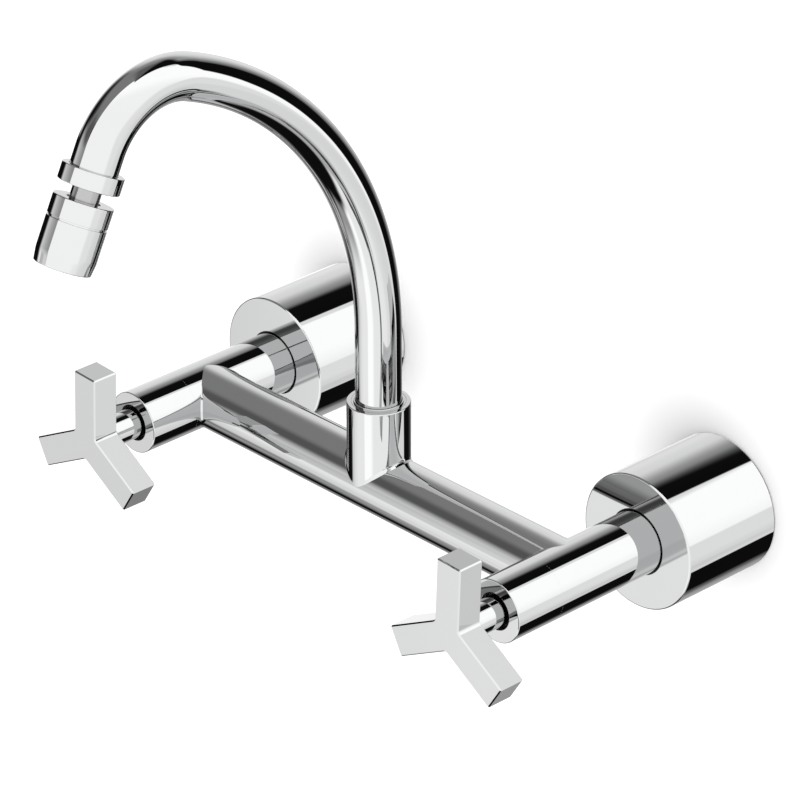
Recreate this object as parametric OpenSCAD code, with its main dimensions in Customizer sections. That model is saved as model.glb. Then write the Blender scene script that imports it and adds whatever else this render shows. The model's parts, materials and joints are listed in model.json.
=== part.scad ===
// Wall-mounted two-handle bridge tap with a swivelling gooseneck spout.
// Millimetres. The wall is the plane y = 0 and the tap stands out of it towards -Y; +Z is up.
// The origin is on the wall, midway between the two inlets. Hot is on the left, at -X.

/* [Layout] */
// Distance between the two water inlets
inlet_pitch = 200; // [190:1:210]
// Distance from the wall to the bridge tube's axis
bridge_out = 82.7; // [80:0.1:86]
// Distance from the wall to the front of the valve tubes
body_front = 119.5; // [118:0.1:122]

/* [Valve bodies] */
// Outside diameter of the valve tubes
body_d = 25; // [24.6:0.1:26]
// Outside diameter of the bridge tube, a hair under the valve tubes
bridge_d = 24.8; // [24:0.1:25.4]
// Length of the front sleeve
sleeve_l = 22.3; // [20:0.1:23]
// Diameter of the hole in the sleeve's front face
sleeve_hole_d = 14.6; // [13.5:0.1:16]

/* [Wall flanges] */
// Outside diameter of a wall flange
flange_d = 54; // [50:1:60]
// Depth of a wall flange
flange_l = 46; // [44:0.5:48]
// Wall thickness of a wall flange
flange_wall = 1.5; // [1:0.1:2.5]
// Diameter of the hole that the valve tube passes
flange_hole_d = 26; // [25.6:0.1:28]
// Outside diameter of the G1/2 inlet thread
inlet_d = 20.96; // [20.9:0.01:21]
// How far the inlet thread reaches into the wall
inlet_l = 14; // [10:1:20]

/* [Handles] */
// Reach of each of the three arms from the handle's centre
arm_reach = 29.6; // [25:0.1:35]
// Width of an arm
arm_w = 12; // [11:0.1:13]
// Thickness of the handle, front to back
arm_t = 11.3; // [10:0.1:12]
// Width of the bevel along the handle's edges
arm_bevel = 0.5; // [0.2:0.1:0.8]
// Distance from the wall to the handle's front face
handle_front = 144; // [143:0.1:148]
// Turn of both closed handles from upright, clockwise as seen from the front
handle_lean = 2.4; // [0:0.1:5]
// Outside diameter of the hub behind the handle
hub_d = 12; // [11.4:0.1:12.4]
// Teeth on the spindle
spline_teeth = 20; // [16:4:24]

/* [Spout] */
// Outside diameter of the spout tube
spout_d = 17.8; // [17.6:0.1:18]
// Wall thickness of the spout tube
spout_wall = 1; // [0.8:0.1:1.2]
// Height of the spout's straight rise over the bridge axis
riser_h = 64.5; // [55:0.5:75]
// Bend radius of the long rising curve
rise_r = 138.7; // [120:0.1:150]
// Angle of the long rising curve
rise_angle = 69.7; // [60:0.1:72]
// Bend radius of the crook at the top
crook_r = 32.2; // [28:0.1:36]
// Angle of the crook at the top
crook_angle = 84.3; // [75:0.1:90]
// Outside diameter of the socket on the bridge
socket_d = 24.4; // [24:0.1:24.6]
// Height of the socket's mouth over the bridge axis
socket_h = 34.5; // [33:0.5:38]

/* [Aerator] */
// Outside diameter of the collar at the end of the spout
collar_d = 22.7; // [22:0.1:24]
// Height of that collar
collar_h = 6.3; // [6:0.1:7]
// Length of straight tube between the crook and the collar
nose_l = 6.3; // [5:0.1:8]
// Diameter of the neck between collar and head
neck_d = 10.7; // [10:0.1:11]
// Gap between collar and head
neck_gap = 5; // [4.6:0.1:6]
// Outside diameter of the head
head_d = 22.1; // [21.6:0.1:23]
// Outside diameter of the head at its lower rim
head_rim_d = 20.9; // [20:0.1:21.4]
// Height of the head's upper part
cap_h = 7.7; // [7.4:0.1:8.2]
// Height of the head's lower part
shell_h = 17.1; // [16:0.1:19]
// Diameter of the swivel ball
ball_d = 13.2; // [13:0.1:13.6]

/* [Hidden] */

$fn = 96;
// A cut starts and ends this far outside what it cuts
over = 1;
// Gap between two parts that turn on each other
running = 0.05;
// Gap between two parts that are screwed or pushed together
fitted = 0.1;
// Step in radius between the stretches of the spout, and how far each starts inside the last
hair = 0.05;
lap = 0.8;

left_x = -inlet_pitch / 2;
right_x = inlet_pitch / 2;

body_r = body_d / 2;
bridge_r = bridge_d / 2;
// Bore of the bridge tube and of the ports that it meets
bridge_bore_r = bridge_r - 2;
sleeve_back = body_front - sleeve_l;
sleeve_front_t = 2.2;
// The rubber seal behind a flange's front wall
flange_seal_rim = 2.5;
flange_seal_t = 3;

// Stations along a valve axis, as distances from the wall
tail_back = 24;
tail_neck_front = 33;
seat_back = 68;
seat_front = 71.5;
chamber_front = 93;
spigot_front = 104;
// Radii inside a valve body
spigot_r = 11.55;
tail_r = 10.2;
tail_lip_r = 12.9;
tail_lip_t = 2.5;
water_r = 7.5;
tube_bore_r = 9.9;
tube_bore_back = tail_neck_front + 3;
seat_bore_r = 5.8;
chamber_r = 9.4;
thread_r = 10.5;

// Union nut and nipple
gasket_t = 2;
gasket_r = 12.7;
gasket_bore_r = 8;
nut_back = 9;
nut_front = 29.6;
nut_flats = 30;
nut_thread_r = 13.2;
nipple_collar_r = 13.1;
nipple_hex_flats = 24;
nipple_hex_back = 2;
nipple_step = 7;

// Cartridge stations and radii
disc_r = 7.4;
disc_t = 3.2;
// Each disc has two windows, made of bores this far out and this far apart round the axis
window_out = 4.1;
window_r = 1.5;
window_turn = 22;
seat_seal_r = 8.6;
seat_seal_bore_r = 5.2;
cartridge_back = 76.6;
fixed_disc_back = cartridge_back + fitted;
moving_disc_back = fixed_disc_back + disc_t + running;
foot_back = moving_disc_back + disc_t + running;
foot_front = foot_back + 3;
cartridge_flange_front = spigot_front + 2;
cartridge_hex_front = 111;
cartridge_front = 115;
cartridge_hex_flats = 19;
cartridge_flange_r = 11.15;
cartridge_neck_r = 7;
cartridge_window_r = 2.6;
// The ring behind the cartridge's flange, and the groove that holds it
head_ring_t = 0.9;
head_groove_r = 9.5;
shaft_r = 4.4;
// Width of the bar at the spindle's foot, which drives the moving disc
foot_w = 7;
spline_back = 119;
spline_front = 131;
spline_tip_r = 4;
spline_root_r = 3.6;
shaft_ring_stations = [96.5, 101];
shaft_ring_t = 1.6;
// The washer that keeps splashes and dust off the cartridge's head
dust_seal_r = 11.5;

// Handle and hub
handle_back = handle_front - arm_t;
hub_back = body_front - 3;
hub_r = hub_d / 2;
hub_spigot_r = 5;
hub_spigot_l = 5;
hub_screw_r = 2;
hub_screw_out = 126;
// Both grub screws have a hexagonal socket of this size
screw_key = 2;
screw_floor = 0.8;

// Socket, bush and shank, as heights over the bridge axis
spout_r = spout_d / 2;
spout_bore_r = spout_r - spout_wall;
socket_r = socket_d / 2;
bush_r = 10.3;
bush_lip_h = 0.7;
bush_lip_r = spout_r + 0.7;
bush_h = 7;
shank_foot = bridge_r + 1.6;
shank_shoulder = socket_h - bush_h - 0.2;
tube_foot = shank_shoulder + 0.7;
shank_spigot_foot = 22;
shank_spigot_top = 34;
shank_ring_heights = [16.2, 19.4];
shank_screw_h = 23.6;
shank_groove_d = 0.9;
shank_r = 9.25;
shank_bore_r = 6.7;
socket_bore_r = shank_r + running;
socket_screw_r = 2;
socket_screw_bite = 0.6;
socket_screw_sunk = 0.3;
groove_slack = 0.2;
ring_t = 1.8;
// An O-ring is a little thinner than its groove is wide
ring_slack = 0.06;
port_r = 7.2;

// Aerator stations along the flow, from the end of the crook
collar_top = nose_l;
tube_end = collar_top + 2.7;
collar_gasket_t = 1;
stem_flange_t = 1.1;
collar_foot = collar_top + collar_h;
stem_flange_foot = tube_end + collar_gasket_t + stem_flange_t;
head_top = collar_foot + neck_gap;
ball_depth = 3.9;
ball_z = head_top + ball_depth;
cap_foot = head_top + cap_h;
cap_spigot_l = 3.8;
shell_foot = cap_foot + shell_h;
rim_taper_h = 4.7;
ball_r = ball_d / 2;
neck_r = neck_d / 2;
neck_bore_r = 3;
// The ball is cut off flat this far below its centre
ball_cut_down = 4.75;
collar_r = collar_d / 2;
collar_bore_r = spout_r + 0.3;
collar_throat_r = neck_r + 0.15;
head_r = head_d / 2;
head_rim_r = head_rim_d / 2;
// The hole over the ball widens upwards, and leaves room for the neck as the head tilts
cap_hole_r = 6.25;
cap_throat_r = 5.9;
cap_throat_up = 2;
// The square groove where the head's two parts meet, half of it on each
seam_depth = 0.5;
seam_half = 0.35;
seat_ring_r = 8.5;
seat_ring_down = 3.2;
seat_hole_r = 4.8;
ball_ring_t = 1.1;
ball_ring_down = 2.4;
ball_ring_r = sqrt(pow(ball_r + ball_ring_t / 2 + running, 2) - pow(ball_ring_down, 2));
cap_spigot_r = 9.6;
insert_r = 9;
insert_h = 8;
insert_recess = 1.2;
insert_foot = shell_foot - insert_recess;
insert_top = insert_foot - insert_h;
screen_t = 0.8;
insert_gasket_t = 1.4;
insert_wall = 1.2;
insert_floor = 2;
gasket_rim = 2.4;
shell_lip = 1;
outlet_hole_r = 0.7;
outlet_pitch = 2.3;
outlet_rings = 3;

// Colours
chrome = [0.78, 0.80, 0.82];
brass = [0.80, 0.66, 0.36];
rubber = [0.10, 0.10, 0.11];
ceramic = [0.92, 0.92, 0.88];
acetal = [0.90, 0.90, 0.90];
fibre = [0.45, 0.30, 0.22];
steel = [0.62, 0.63, 0.65];

// ---------- places ----------

// On a valve axis: local z runs out of the wall, local y is up.
module on_valve(x) {
  translate([x, 0, 0])
    rotate([90, 0, 0])
      children();
}

// On the spout's swivel axis: local z is the height over the bridge axis.
module on_socket() {
  translate([0, -bridge_out, 0])
    children();
}

// In the plane of the spout, about the centre of the long curve, which starts on local +X.
module in_spout_plane() {
  on_socket()
    translate([0, -rise_r, riser_h])
      rotate([90, 0, 90])
        children();
}

// About the centre of the crook, which starts on local +X.
module in_crook() {
  in_spout_plane()
    rotate([0, 0, rise_angle])
      translate([rise_r - crook_r, 0, 0])
        children();
}

// At the spout's nose: local z runs with the flow from the end of the crook.
module at_nose() {
  in_crook()
    rotate([0, 0, crook_angle])
      translate([crook_r, 0, 0])
        rotate([-90, 0, 0])
          children();
}

// ---------- shapes used more than once ----------

// A round bar from station a to station b.
module bar(r, a, b) {
  translate([0, 0, a])
    cylinder(r = r, h = b - a);
}

// A cut that removes a round bar from a to b.
module bore(r, a, b) {
  bar(r, a, b);
}

// A flat ring from station a to station b.
module washer(r_out, r_in, a, b) {
  difference() {
    bar(r_out, a, b);
    bore(r_in, a - over, b + over);
  }
}

// A rubber ring of round section t, lying on radius r.
module oring(r, t, z) {
  translate([0, 0, z])
    rotate_extrude()
      translate([r, 0])
        circle(d = t, $fn = 24);
}

// A hexagonal bar, flats apart, from a to b.
module hex_bar(flats, a, b) {
  translate([0, 0, a])
    cylinder(d = flats / cos(30), h = b - a, $fn = 6);
}

// A toothed outline with its tips on r_tip.
module teeth(r_tip, r_root) {
  count = 2 * spline_teeth;
  polygon([for (i = [0 : count - 1])
    (i % 2 == 0 ? r_tip : r_root) * [cos(i * 360 / count), sin(i * 360 / count)]]);
}

// The pair of openings through a ceramic disc: two opposite sectors, drawn as round-ended slots.
module disc_windows(a, b) {
  for (side = [0, 180])
    rotate([0, 0, side])
      for (turn = [-window_turn : window_turn : window_turn])
        rotate([0, 0, turn])
          translate([window_out, 0, 0])
            bore(window_r, a - over, b + over);
}

// ---------- one valve side ----------

// port_side is +1 when the bridge leaves towards +X and -1 when it leaves towards -X.
module valve_body(x, port_side) {
  color(chrome)
    on_valve(x)
      difference() {
        union() {
          bar(tail_lip_r, tail_back, tail_back + tail_lip_t);
          bar(tail_r, tail_back, tail_neck_front);
          bar(body_r, tail_neck_front, sleeve_back);
          bar(spigot_r, sleeve_back - over, spigot_front);
        }
        bore(water_r, tail_back - over, tube_bore_back + over);
        bore(tube_bore_r, tube_bore_back, seat_back);
        bore(seat_bore_r, seat_back - over, seat_front + over);
        bore(chamber_r, seat_front, chamber_front + over);
        bore(thread_r, chamber_front, spigot_front + over);
        translate([0, 0, bridge_out])
          rotate([0, port_side * 90, 0])
            bore(bridge_bore_r, chamber_r / 2, body_r + over);
      }
}

module bonnet_sleeve(x) {
  color(chrome)
    on_valve(x)
      difference() {
        bar(body_r, sleeve_back, body_front);
        bore(spigot_r + fitted, sleeve_back - over, body_front - sleeve_front_t);
        bore(sleeve_hole_d / 2, body_front - sleeve_front_t - over, body_front + over);
      }
}

module wall_flange(x) {
  color(chrome)
    on_valve(x)
      difference() {
        bar(flange_d / 2, 0, flange_l);
        bore(flange_d / 2 - flange_wall, -over, flange_l - flange_wall);
        bore(flange_hole_d / 2, flange_l - flange_wall - over, flange_l + over);
      }
}

// The seal sits behind the flange's front wall and hugs the tube.
module flange_seal(x) {
  color(rubber)
    on_valve(x)
      washer(flange_hole_d / 2 + flange_seal_rim, body_r,
             flange_l - flange_wall - flange_seal_t, flange_l - flange_wall);
}

module union_nut(x) {
  color(brass)
    on_valve(x)
      difference() {
        hex_bar(nut_flats, nut_back, nut_front);
        bore(nut_thread_r, nut_back - over, tail_back + tail_lip_t + fitted);
        bore(tail_r + fitted, tail_back, nut_front + over);
      }
}

module inlet_gasket(x) {
  color(fibre)
    on_valve(x)
      washer(gasket_r, gasket_bore_r, tail_back - gasket_t, tail_back);
}

module wall_nipple(x) {
  color(brass)
    on_valve(x)
      difference() {
        union() {
          bar(inlet_d / 2, -inlet_l, nipple_hex_back + over);
          hex_bar(nipple_hex_flats, nipple_hex_back, nipple_step);
          bar(nipple_collar_r, nipple_step - fitted, tail_back - gasket_t);
        }
        bore(water_r, -inlet_l - over, tail_back);
      }
}

module cartridge_body(x) {
  color(brass)
    on_valve(x)
      difference() {
        union() {
          bar(chamber_r - fitted, cartridge_back, chamber_front);
          bar(thread_r - fitted, chamber_front, spigot_front);
          bar(cartridge_flange_r, spigot_front + 2 * fitted, cartridge_flange_front);
          bar(head_groove_r, spigot_front - fitted, cartridge_flange_front);
          hex_bar(cartridge_hex_flats, cartridge_flange_front - fitted, cartridge_hex_front);
          bar(cartridge_neck_r, cartridge_hex_front - fitted, cartridge_front);
        }
        bore(disc_r + fitted, cartridge_back - over, foot_front + fitted);
        bore(shaft_r + running, foot_front, cartridge_front + over);
        // Side windows that let the mixed-in water out to the bridge
        translate([0, 0, foot_back + 4 * fitted])
          rotate([0, 90, 0])
            bore(cartridge_window_r, -body_r, body_r);
        washer(thread_r + over, head_groove_r, spigot_front - head_ring_t, spigot_front + fitted);
      }
}

// The ring lies in the groove behind the cartridge's flange.
module cartridge_oring(x) {
  color(rubber)
    on_valve(x)
      oring((head_groove_r + thread_r) / 2, head_ring_t, spigot_front - head_ring_t / 2);
}

module fixed_disc(x) {
  color(ceramic)
    on_valve(x)
      difference() {
        bar(disc_r, fixed_disc_back, fixed_disc_back + disc_t);
        disc_windows(fixed_disc_back, fixed_disc_back + disc_t);
      }
}

module seat_seal(x) {
  color(rubber)
    on_valve(x)
      washer(seat_seal_r, seat_seal_bore_r, seat_front, cartridge_back);
}

module moving_disc(x) {
  color(ceramic)
    on_valve(x)
      rotate([0, 0, 90])
        difference() {
          bar(disc_r, moving_disc_back, moving_disc_back + disc_t);
          disc_windows(moving_disc_back, moving_disc_back + disc_t);
        }
}

module spindle(x) {
  color(brass)
    on_valve(x)
      difference() {
        union() {
          intersection() {
            bar(disc_r - 2 * fitted, foot_back, foot_front);
            translate([-disc_r, -foot_w / 2, foot_back])
              cube([2 * disc_r, foot_w, foot_front - foot_back]);
          }
          bar(shaft_r, foot_front - fitted, spline_back);
          translate([0, 0, spline_back - fitted])
            linear_extrude(height = spline_front - spline_back + fitted)
              teeth(spline_tip_r, spline_root_r);
        }
        for (z = shaft_ring_stations)
          washer(shaft_r + over, shaft_r - shaft_ring_t, z - shaft_ring_t / 2, z + shaft_ring_t / 2);
      }
}

module spindle_orings(x) {
  color(rubber)
    on_valve(x)
      for (z = shaft_ring_stations)
        oring(shaft_r - shaft_ring_t / 2, shaft_ring_t - ring_slack, z);
}

// The washer lies inside the sleeve's front, behind the hub.
module dust_seal(x) {
  color(rubber)
    on_valve(x)
      washer(dust_seal_r, shaft_r + running, cartridge_front + running, hub_back - fitted);
}

module handle_hub(x) {
  color(chrome)
    on_valve(x)
      difference() {
        union() {
          bar(hub_r, hub_back, handle_back);
          bar(hub_spigot_r, handle_back - over, handle_back + hub_spigot_l);
        }
        bore(shaft_r + fitted, hub_back - over, spline_back + fitted);
        translate([0, 0, spline_back])
          linear_extrude(height = spline_front - spline_back + fitted)
            teeth(spline_tip_r + fitted, spline_root_r + fitted);
        translate([0, 0, hub_screw_out])
          rotate([90, 0, 0])
            bore(hub_screw_r, spline_tip_r - over, hub_r + over);
      }
}

// A grub screw with a hexagonal socket, in the underside of the hub.
module hub_screw(x) {
  color(steel)
    on_valve(x)
      translate([0, 0, hub_screw_out])
        rotate([90, 0, 0])
          difference() {
            bar(hub_screw_r, spline_tip_r + fitted, hub_r - 2 * fitted);
            hex_bar(screw_key, spline_tip_r + screw_floor, hub_r + over);
          }
}

// One arm, pointing up, with a bevel along every edge.
module arm() {
  e = arm_bevel;
  w = arm_w;
  root = hub_spigot_r;
  hull() {
    translate([-w / 2 + e, -root, 0])
      cube([w - 2 * e, root + arm_reach - e, arm_t]);
    translate([-w / 2, -root, e])
      cube([w, root + arm_reach - e, arm_t - 2 * e]);
    translate([-w / 2 + e, -root, e])
      cube([w - 2 * e, root + arm_reach, arm_t - 2 * e]);
  }
}

module handle(x) {
  color(chrome)
    on_valve(x)
      translate([0, 0, handle_back])
        rotate([0, 0, -handle_lean])
          difference() {
            intersection() {
              for (turn = [0 : 120 : 240])
                rotate([0, 0, turn])
                  arm();
              handle_outline();
            }
            bore(hub_spigot_r, -over, hub_spigot_l);
          }
}

// The Y that the three arms make, without their rear ends.
module handle_outline() {
  for (turn = [0 : 120 : 240])
    rotate([0, 0, turn])
      translate([-arm_w / 2, 0, -over])
        cube([arm_w, arm_reach + over, arm_t + 2 * over]);
}

// ---------- bridge and socket ----------

module bridge_tube() {
  color(chrome)
    difference() {
      on_socket()
        rotate([0, 90, 0])
          bar(bridge_r, left_x, right_x);
      on_socket()
        rotate([0, 90, 0])
          bore(bridge_bore_r, left_x - over, right_x + over);
      for (x = [left_x, right_x])
        on_valve(x)
          bore(body_r, bridge_out - body_d, bridge_out + body_d);
      on_socket()
        bore(port_r, 0, bridge_r + over);
    }
}

module spout_socket() {
  color(chrome)
    on_socket()
      difference() {
        bar(socket_r, 0, socket_h);
        rotate([0, 90, 0])
          bore(bridge_r, -body_d, body_d);
        bore(port_r, 0, socket_h);
        bore(socket_bore_r, shank_foot - groove_slack, socket_h + over);
        bore(bush_r, socket_h - bush_h, socket_h + over);
        // Threaded hole for the set screw, at the back
        translate([0, 0, shank_screw_h])
          rotate([-90, 0, 0])
            bore(socket_screw_r, socket_bore_r - over, socket_r + over);
      }
}

module spout_bush() {
  color(chrome)
    on_socket()
      difference() {
        union() {
          bar(bush_r, socket_h - bush_h + fitted, socket_h);
          bar(bush_lip_r, socket_h - over, socket_h + bush_lip_h);
        }
        bore(spout_r + running, socket_h - bush_h, socket_h + bush_lip_h + over);
      }
}

module socket_screw() {
  color(steel)
    on_socket()
      translate([0, 0, shank_screw_h])
        rotate([-90, 0, 0])
          difference() {
            bar(socket_screw_r, shank_r - socket_screw_bite, socket_r - socket_screw_sunk);
            hex_bar(screw_key, socket_r - socket_screw_sunk - screw_key, socket_r + over);
          }
}

// ---------- spout ----------

// One bend of a round bar, drawn back a little into the stretch before it.
module bend(bend_r, angle, r) {
  back = lap / bend_r * 180 / PI;
  rotate([0, 0, -back])
    rotate_extrude(angle = angle + back)
      translate([bend_r, 0])
        circle(r = r);
}

// The spout's run as a bar of radius r, from the foot of its straight rise to tip along the nose.
// Each stretch is a hair slimmer than the one before and starts inside it, so that they join cleanly.
module gooseneck(r, foot, tip) {
  on_socket()
    bar(r, foot, riser_h);
  in_spout_plane()
    bend(rise_r, rise_angle, r - hair);
  in_crook()
    bend(crook_r, crook_angle, r - 2 * hair);
  at_nose()
    bar(r - 3 * hair, -lap, tip);
}

module spout_tube() {
  color(chrome)
    difference() {
      gooseneck(spout_r, tube_foot, tube_end);
      gooseneck(spout_bore_r, tube_foot - over, tube_end + over);
    }
}

// The shank closes the tube's lower end and carries the rings and the screw's groove.
module spout_shank() {
  color(brass)
    on_socket()
      difference() {
        union() {
          bar(shank_r, shank_foot, shank_shoulder);
          bar(spout_bore_r - fitted, shank_spigot_foot, shank_spigot_top);
        }
        bore(shank_bore_r, shank_foot - over, shank_spigot_top + over);
        for (h = shank_ring_heights)
          washer(shank_r + over, shank_r - ring_t, h - ring_t / 2, h + ring_t / 2);
        washer(shank_r + over, shank_r - shank_groove_d,
               shank_screw_h - socket_screw_r - groove_slack,
               shank_screw_h + socket_screw_r + groove_slack);
      }
}

module spout_orings() {
  color(rubber)
    on_socket()
      for (h = shank_ring_heights)
        oring(shank_r - ring_t / 2, ring_t - ring_slack, h);
}

module aerator_collar() {
  color(chrome)
    at_nose()
      difference() {
        bar(collar_r, collar_top, collar_foot);
        bore(spout_r, collar_top - over, tube_end);
        bore(collar_bore_r, tube_end - fitted, stem_flange_foot + running);
        bore(collar_throat_r, stem_flange_foot, collar_foot + over);
      }
}

module collar_gasket() {
  color(rubber)
    at_nose()
      washer(spout_r, neck_bore_r + 1, tube_end, tube_end + collar_gasket_t - running);
}

module swivel_stem() {
  color(chrome)
    at_nose()
      difference() {
        union() {
          bar(spout_r, tube_end + collar_gasket_t, stem_flange_foot);
          bar(neck_r, stem_flange_foot - fitted, ball_z);
          translate([0, 0, ball_z])
            sphere(r = ball_r);
        }
        bore(neck_bore_r, tube_end, ball_z + ball_d);
        bore(ball_r, ball_z + ball_cut_down, ball_z + ball_d);
      }
}

// ---------- aerator head ----------

module aerator_cap() {
  color(chrome)
    at_nose()
      difference() {
        union() {
          bar(head_r, head_top, cap_foot - seam_half);
          bar(head_r - seam_depth, cap_foot - seam_half - over, cap_foot);
          bar(cap_spigot_r, cap_foot - over, cap_foot + cap_spigot_l);
        }
        translate([0, 0, head_top])
          cylinder(r1 = cap_hole_r, r2 = cap_throat_r, h = ball_depth - cap_throat_up);
        bore(cap_hole_r, head_top - over, head_top);
        bore(cap_throat_r, ball_z - cap_throat_up - fitted, ball_z);
        translate([0, 0, ball_z])
          sphere(r = ball_r + running);
        bore(ball_r + running, ball_z, cap_foot);
        bore(ball_ring_r + ball_ring_t / 2 + running, ball_z + ball_ring_down - ball_ring_t / 2, cap_foot);
        bore(seat_ring_r, ball_z + seat_ring_down, cap_foot + cap_spigot_l + over);
      }
}

// The seat presses the ball up into the cap.
module ball_seat() {
  color(acetal)
    at_nose()
      difference() {
        bar(seat_ring_r - running, ball_z + seat_ring_down, cap_foot + cap_spigot_l);
        translate([0, 0, ball_z])
          sphere(r = ball_r + running);
        bore(seat_hole_r, ball_z, cap_foot + cap_spigot_l + over);
      }
}

module ball_oring() {
  color(rubber)
    at_nose()
      oring(ball_ring_r, ball_ring_t, ball_z + ball_ring_down);
}

module aerator_shell() {
  color(chrome)
    at_nose()
      difference() {
        union() {
          bar(head_r - seam_depth, cap_foot, cap_foot + seam_half + over);
          bar(head_r, cap_foot + seam_half, shell_foot - rim_taper_h);
          translate([0, 0, shell_foot - rim_taper_h])
            cylinder(r1 = head_r, r2 = head_rim_r, h = rim_taper_h);
        }
        bore(cap_spigot_r + fitted, cap_foot - over, cap_foot + cap_spigot_l + 4 * fitted);
        bore(insert_r - shell_lip, cap_foot, shell_foot + over);
        bore(insert_r + running, insert_top - screen_t - insert_gasket_t - fitted, shell_foot + over);
      }
}

module aerator_gasket() {
  color(rubber)
    at_nose()
      washer(insert_r - fitted, insert_r - gasket_rim,
             insert_top - screen_t - insert_gasket_t, insert_top - screen_t);
}

module aerator_screen() {
  color(steel)
    at_nose()
      bar(insert_r - fitted, insert_top - screen_t, insert_top);
}

// A cup with a floor full of holes, the outlet of the tap.
module aerator_insert() {
  color(acetal)
    at_nose()
      difference() {
        bar(insert_r, insert_top, insert_foot);
        bore(insert_r - insert_wall, insert_top - over, insert_foot - insert_floor);
        for (ring = [0 : outlet_rings])
          for (k = [0 : max(6 * ring - 1, 0)])
            rotate([0, 0, k * 60 / max(ring, 1)])
              translate([ring * outlet_pitch, 0, 0])
                bore(outlet_hole_r, insert_top, insert_foot + over);
      }
}

// ---------- nodes ----------

valve_body(left_x, 1);  // left_valve_body
bonnet_sleeve(left_x);  // left_bonnet_sleeve
wall_flange(left_x);  // left_wall_flange
flange_seal(left_x);  // left_flange_seal
union_nut(left_x);  // left_union_nut
inlet_gasket(left_x);  // left_inlet_gasket
wall_nipple(left_x);  // left_wall_nipple
cartridge_body(left_x);  // left_cartridge_body
cartridge_oring(left_x);  // left_cartridge_oring
fixed_disc(left_x);  // left_fixed_disc
seat_seal(left_x);  // left_seat_seal
moving_disc(left_x);  // left_moving_disc
spindle(left_x);  // left_spindle
spindle_orings(left_x);  // left_spindle_orings
dust_seal(left_x);  // left_dust_seal
handle_hub(left_x);  // left_handle_hub
hub_screw(left_x);  // left_hub_screw
handle(left_x);  // left_handle
valve_body(right_x, -1);  // right_valve_body
bonnet_sleeve(right_x);  // right_bonnet_sleeve
wall_flange(right_x);  // right_wall_flange
flange_seal(right_x);  // right_flange_seal
union_nut(right_x);  // right_union_nut
inlet_gasket(right_x);  // right_inlet_gasket
wall_nipple(right_x);  // right_wall_nipple
cartridge_body(right_x);  // right_cartridge_body
cartridge_oring(right_x);  // right_cartridge_oring
fixed_disc(right_x);  // right_fixed_disc
seat_seal(right_x);  // right_seat_seal
moving_disc(right_x);  // right_moving_disc
spindle(right_x);  // right_spindle
spindle_orings(right_x);  // right_spindle_orings
dust_seal(right_x);  // right_dust_seal
handle_hub(right_x);  // right_handle_hub
hub_screw(right_x);  // right_hub_screw
handle(right_x);  // right_handle
bridge_tube();
spout_socket();
spout_bush();
socket_screw();
spout_tube();
spout_shank();
spout_orings();
aerator_collar();
collar_gasket();
swivel_stem();
aerator_cap();
ball_seat();
ball_oring();
aerator_shell();
aerator_gasket();
aerator_screen();
aerator_insert();
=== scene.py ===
# %% [markdown]
# # A wall-mounted bridge tap in polished chrome
#
# The tap hangs on a wall: two deep round flanges, a straight valve tube out of each, a Y-shaped handle
# on the front of each tube, a bridge between the tubes, and a gooseneck spout on a socket in the middle
# of the bridge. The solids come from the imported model. This file dresses them: it rebuilds what shows
# with finely rounded edges, gives every piece its finish, and sets up the wall, the light tent and the
# camera. Lengths are written in millimetres, as on a drawing, and turned to metres at the very end.

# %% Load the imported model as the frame
import json
from math import asin, copysign, cos, degrees, pi, radians, sin, sqrt

import bmesh
import bpy
from mathutils import Matrix, Vector


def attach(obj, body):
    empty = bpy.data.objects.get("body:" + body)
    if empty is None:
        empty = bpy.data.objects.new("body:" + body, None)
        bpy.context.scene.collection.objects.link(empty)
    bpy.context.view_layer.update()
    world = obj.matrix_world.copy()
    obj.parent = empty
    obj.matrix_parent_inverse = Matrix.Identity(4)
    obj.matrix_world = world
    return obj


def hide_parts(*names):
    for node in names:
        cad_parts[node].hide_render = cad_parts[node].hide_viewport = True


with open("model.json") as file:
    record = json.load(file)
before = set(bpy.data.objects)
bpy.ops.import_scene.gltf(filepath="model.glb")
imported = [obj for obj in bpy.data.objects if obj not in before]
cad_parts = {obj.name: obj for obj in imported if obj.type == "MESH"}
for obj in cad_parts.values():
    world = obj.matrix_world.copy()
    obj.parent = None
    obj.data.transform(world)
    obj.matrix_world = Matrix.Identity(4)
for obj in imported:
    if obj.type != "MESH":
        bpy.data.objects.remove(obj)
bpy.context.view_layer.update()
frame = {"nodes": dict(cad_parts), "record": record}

# %% [markdown]
# ## The camera
#
# The camera looks down at the tap from the front right with a long lens, so that parallel tubes stay
# nearly parallel. Its place is given as a direction and a distance, which is how a photographer would
# say it: turn, height, distance and a small shift of the aim. A camera aimed by a constraint would do
# as well, but a plain matrix keeps the small roll of the horizon.

# %% Place the camera
turn, height, roll = radians(46.657), radians(27.745), radians(-0.178)
aim_right, aim_up, distance = -52.15, 3.966, 1826.88
back = Vector((sin(turn) * cos(height), -cos(turn) * cos(height), sin(height)))
right = Vector((cos(turn), sin(turn), 0))
up = back.cross(right)
level_right = right * cos(roll) + up * sin(roll)
level_up = up * cos(roll) - right * sin(roll)
eye = (level_right * aim_right + level_up * aim_up + back * distance) / 1000

camera = bpy.data.objects.new("studio_camera", bpy.data.cameras.new("studio_camera"))
bpy.context.scene.collection.objects.link(camera)
camera.matrix_world = Matrix.Translation(eye) @ Matrix((level_right, level_up, back)).transposed().to_4x4()
camera.data.sensor_width = 36
camera.data.lens = 211.27
bpy.context.scene.camera = camera
print("camera at", [round(v, 3) for v in eye])

# %% [markdown]
# ## The main sizes
#
# These are the sizes of the drawing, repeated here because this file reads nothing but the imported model.
# Sizes along a valve are distances from the wall. Sizes on the spout's nose run with the flow from the
# end of the crook.

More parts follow.
